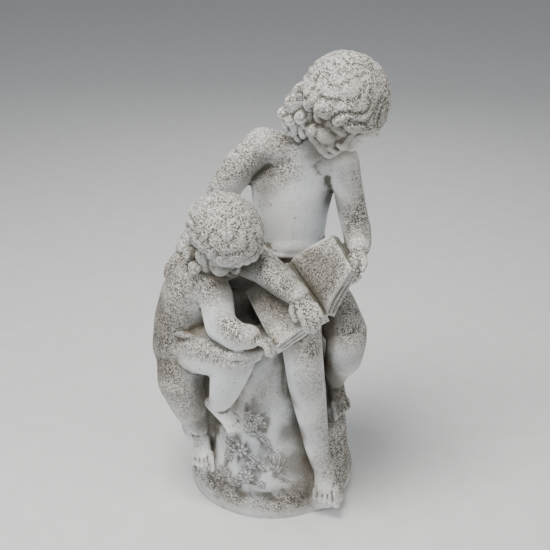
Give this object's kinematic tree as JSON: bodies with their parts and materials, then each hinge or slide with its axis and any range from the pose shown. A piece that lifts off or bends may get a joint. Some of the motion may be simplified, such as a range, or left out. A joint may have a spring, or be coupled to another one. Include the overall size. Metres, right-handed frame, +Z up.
{
  "type": "garden statue",
  "caption": "Concrete garden statue of two children reading a book on a tree stump, cast in one piece with a round base and a flat underside it stands on",
  "frame": {"origin": "middle of the round base's flat underside, which rests on the ground", "axes": "+Z up; the figures face -Y; +X is the side of the taller figure's head, to the right of someone who looks at the statue from the front"},
  "size_m": [0.3378, 0.2974, 0.7],
  "materials": {
    "concrete": "rough weathered grey concrete"
  },
  "bodies": {
    "root": {"statue": "concrete"}
  },
  "joints": []
}
